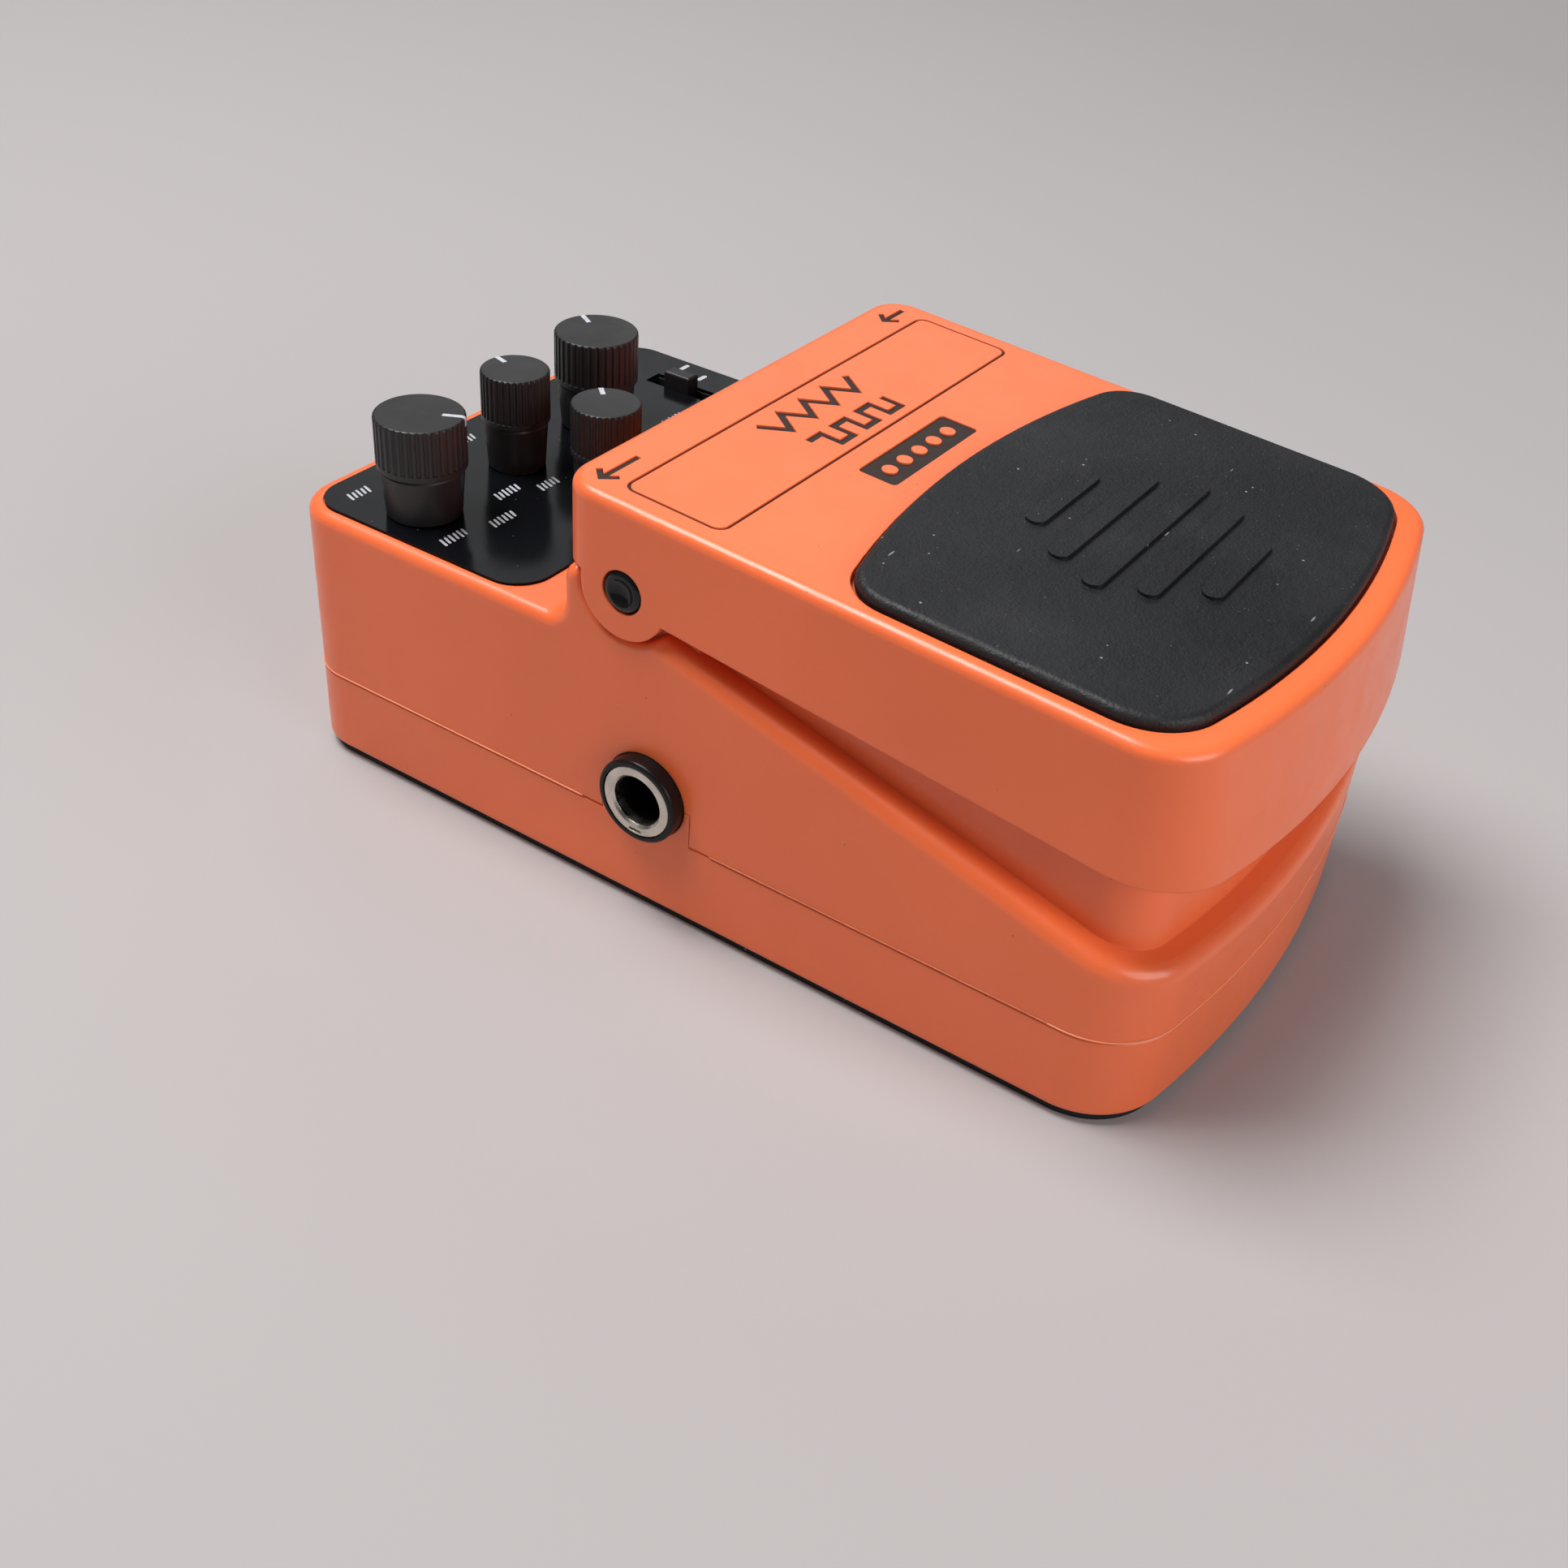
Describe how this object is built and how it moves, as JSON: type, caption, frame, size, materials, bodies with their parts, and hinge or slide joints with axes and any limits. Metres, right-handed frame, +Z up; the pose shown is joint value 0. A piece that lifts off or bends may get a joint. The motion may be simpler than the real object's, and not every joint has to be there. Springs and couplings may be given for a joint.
{
  "type": "guitar effects pedal",
  "caption": "Compact guitar effects pedal with a sprung hinged treadle, rubber pad, rear control panel with knobs and a slide switch, side jacks, and a battery under the treadle.",
  "frame": {"origin": "the middle of the base's flat face, on the surface that it stands on", "axes": "+X towards the input jack side, +Y from the toe end to the knobs, +Z up"},
  "size_m": [0.071, 0.1247, 0.0539],
  "materials": {
    "orange_plastic": "satin moulded plastic",
    "black_rubber": "matt",
    "engraving_paint": "matt paint fill",
    "label_film": "satin film",
    "knob_plastic": "satin",
    "black_plastic": "satin",
    "shaft_plastic": "moulded",
    "potentiometer_case": "moulded",
    "nickel": "nickel plate",
    "spring_steel": "wire",
    "screw_steel": "zinc plate",
    "contact_bronze": "spring bronze",
    "circuit_board": "solder mask",
    "component_black": "moulded",
    "red_lens": "clear red",
    "battery_case": "printed wrap",
    "foam": "foam",
    "lead_red": "wire insulation",
    "lead_black": "wire insulation"
  },
  "bodies": {
    "housing": {"upper_housing": "orange_plastic", "lower_housing": "orange_plastic", "base_mat": "black_rubber", "panel_label": "label_film", "footswitch_body": "black_plastic", "light_spacer": "black_plastic", "mode_switch_body": "black_plastic", "output_jack_body": "black_plastic", "input_jack_body": "black_plastic", "power_jack_body": "black_plastic", "battery_snap": "black_plastic", "potentiometer_level": "potentiometer_case", "potentiometer_treble": "potentiometer_case", "potentiometer_bass": "potentiometer_case", "potentiometer_gain": "potentiometer_case", "output_jack_ring": "nickel", "input_jack_ring": "nickel", "power_jack_pin": "nickel", "treadle_spring": "spring_steel", "hinge_pin_spring_left": "spring_steel", "hinge_pin_spring_right": "spring_steel", "housing_screws": "screw_steel", "board_screws": "screw_steel", "board_link_pins": "screw_steel", "output_jack_contacts": "contact_bronze", "input_jack_contacts": "contact_bronze", "main_board": "circuit_board", "control_board": "circuit_board", "switch_board": "circuit_board", "board_components": "component_black", "status_light": "red_lens", "battery": "battery_case", "battery_foam": "foam", "battery_lead_red": "lead_red", "battery_lead_black": "lead_black"},
    "treadle": {"treadle": "orange_plastic", "treadle_pad": "black_rubber", "treadle_markings": "engraving_paint"},
    "footswitch_plunger": {"footswitch_plunger": "black_plastic"},
    "hinge_pin_left": {"hinge_pin_left": "black_plastic"},
    "hinge_pin_right": {"hinge_pin_right": "black_plastic"},
    "mode_slider": {"mode_switch_slider": "black_plastic"},
    "knob_level": {"knob_level": "knob_plastic", "shaft_level": "shaft_plastic"},
    "knob_treble": {"knob_treble": "knob_plastic", "shaft_treble": "shaft_plastic"},
    "knob_bass": {"knob_bass": "knob_plastic", "shaft_bass": "shaft_plastic"},
    "knob_gain": {"knob_gain": "knob_plastic", "shaft_gain": "shaft_plastic"}
  },
  "joints": [
    {"name": "treadle_press", "type": "hinge", "parent": "housing", "child": "treadle", "pos_m": [0, 0.0087, 0.0429], "axis": [1, 0, 0], "range_deg": [0, 3], "stiffness_Nm_per_rad": 1.5, "springref_deg": -6.88, "deforming": ["treadle_spring"]},
    {"name": "plunger_travel", "type": "slide", "parent": "housing", "child": "footswitch_plunger", "axis": [0, 0, -1], "range_m": [0, 0.0025]},
    {"name": "hinge_pin_left_push", "type": "slide", "parent": "housing", "child": "hinge_pin_left", "axis": [1, 0, 0], "range_m": [0, 0.0027], "stiffness_N_per_m": 400, "springref_m": -0.003, "deforming": ["hinge_pin_spring_left"]},
    {"name": "hinge_pin_right_push", "type": "slide", "parent": "housing", "child": "hinge_pin_right", "axis": [-1, 0, 0], "range_m": [0, 0.0027], "stiffness_N_per_m": 400, "springref_m": -0.003, "deforming": ["hinge_pin_spring_right"]},
    {"name": "level_turn", "type": "hinge", "parent": "housing", "child": "knob_level", "pos_m": [-0.025, 0.0463, 0.04], "axis": [0, 0, 1], "range_deg": [0, 300]},
    {"name": "treble_turn", "type": "hinge", "parent": "housing", "child": "knob_treble", "pos_m": [-0.008, 0.0463, 0.04], "axis": [0, 0, 1], "range_deg": [-135, 165]},
    {"name": "bass_turn", "type": "hinge", "parent": "housing", "child": "knob_bass", "pos_m": [-0.008, 0.0318, 0.04], "axis": [0, 0, 1], "range_deg": [-108, 192]},
    {"name": "gain_turn", "type": "hinge", "parent": "housing", "child": "knob_gain", "pos_m": [0.008, 0.0463, 0.04], "axis": [0, 0, 1], "range_deg": [-120, 180]},
    {"name": "mode_slide", "type": "slide", "parent": "housing", "child": "mode_slider", "axis": [0, 1, 0], "range_m": [-0.0025, 0.0025]}
  ],
  "couplings": [
    {"joint": "plunger_travel", "follows": "treadle_press", "m_per_rad": 0.0467}
  ]
}
